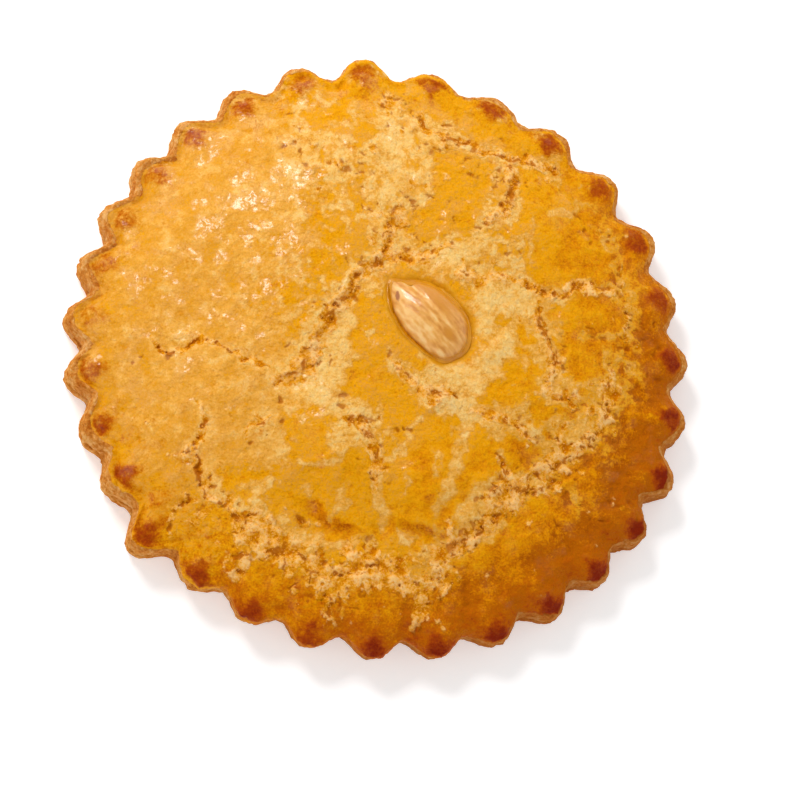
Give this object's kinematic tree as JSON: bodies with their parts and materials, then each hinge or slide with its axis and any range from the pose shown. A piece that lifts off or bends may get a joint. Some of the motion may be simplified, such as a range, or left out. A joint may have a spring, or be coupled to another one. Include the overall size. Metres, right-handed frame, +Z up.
{
  "type": "filled butter cookie",
  "caption": "Round filled butter cookie with a fluted edge, a cracked egg-glazed dome and a blanched almond baked into the top.",
  "frame": {"origin": "middle of the cookie's outline on its flat base", "axes": "+Z up out of the base, +Y to the picture's upper edge, +X to the picture's right"},
  "size_m": [0.1152, 0.112, 0.023],
  "materials": {
    "crust": "baked butter dough with an egg glaze, paler crumb in the cracks and browned flute tips",
    "almond": "blanched almond under a thin egg glaze"
  },
  "bodies": {
    "root": {"pastry": "crust", "almond": "almond"}
  },
  "joints": []
}
